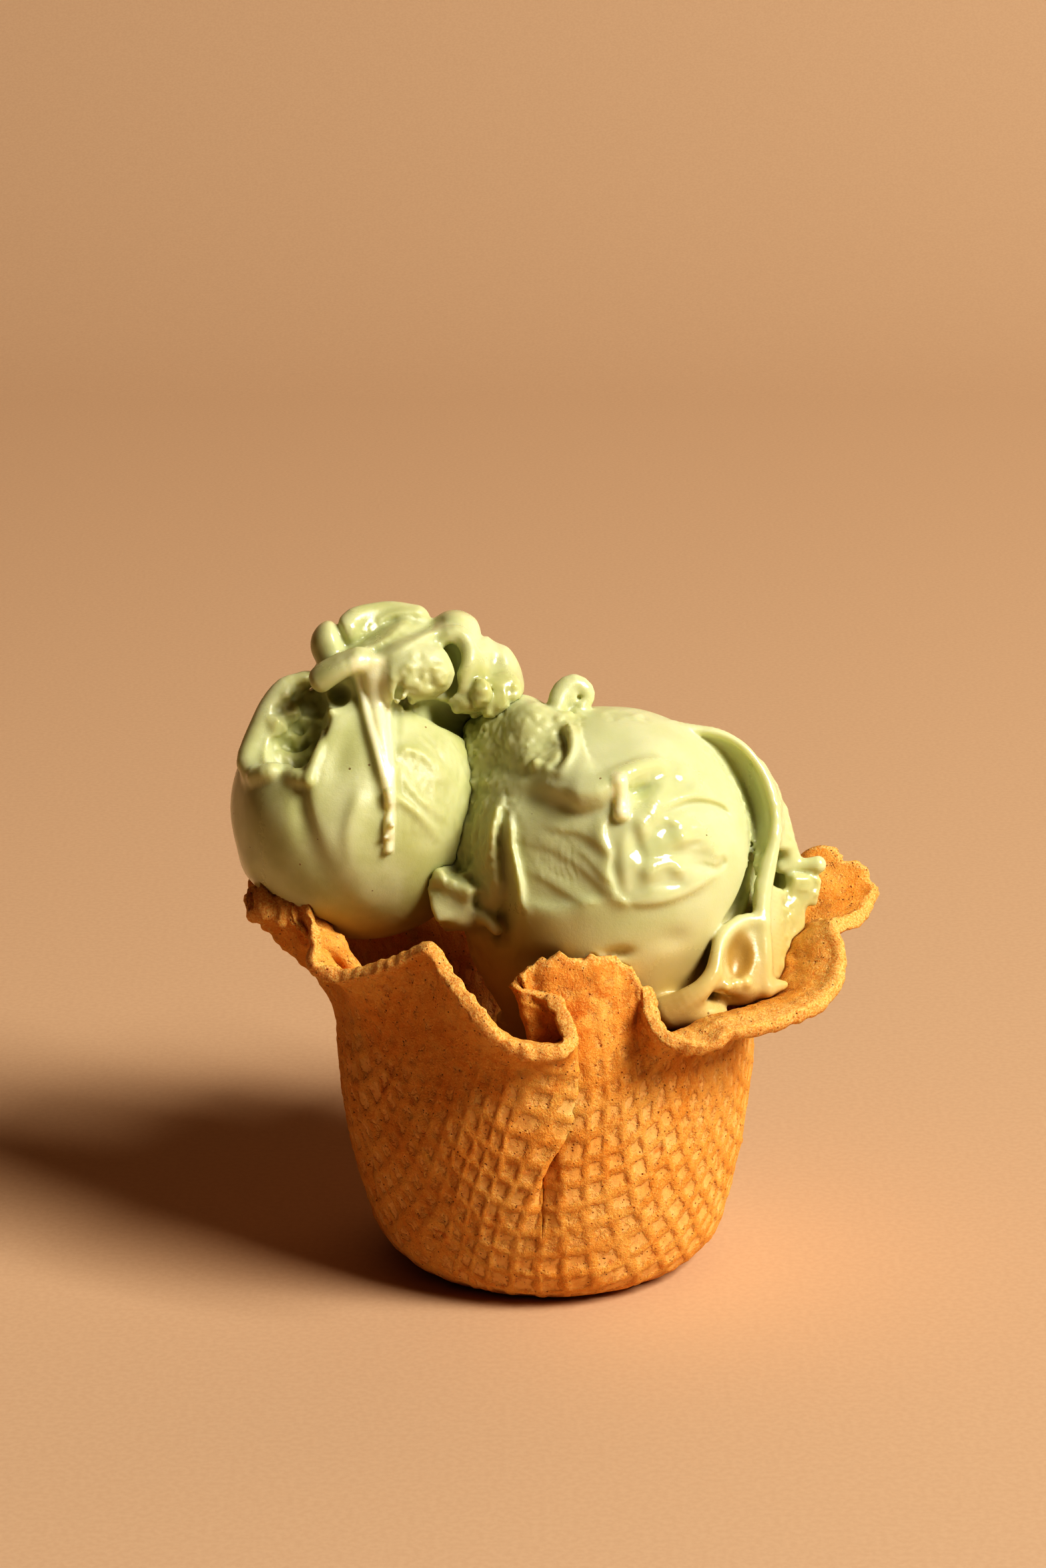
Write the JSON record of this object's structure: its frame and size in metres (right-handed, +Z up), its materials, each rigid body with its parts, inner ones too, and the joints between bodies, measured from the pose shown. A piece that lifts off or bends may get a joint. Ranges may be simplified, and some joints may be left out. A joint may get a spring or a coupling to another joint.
{
  "type": "gelato cup",
  "caption": "Pleated waffle cup with a ruffled rim, holding scoops of pale green pistachio gelato.",
  "frame": {"origin": "centre of the waffle cup's flat underside", "axes": "+Z up, -Y toward the side the cup is served from, +X to the right seen from that side"},
  "size_m": [0.1284, 0.1077, 0.1317],
  "materials": {
    "waffle": "matt, browned golden wafer",
    "gelato_left": "satin, pale pistachio green",
    "gelato_right": "satin, pale pistachio green"
  },
  "bodies": {
    "root": {"waffle_cup": "waffle", "gelato_scoop_left": "gelato_left", "gelato_scoop_right": "gelato_right"}
  },
  "joints": []
}
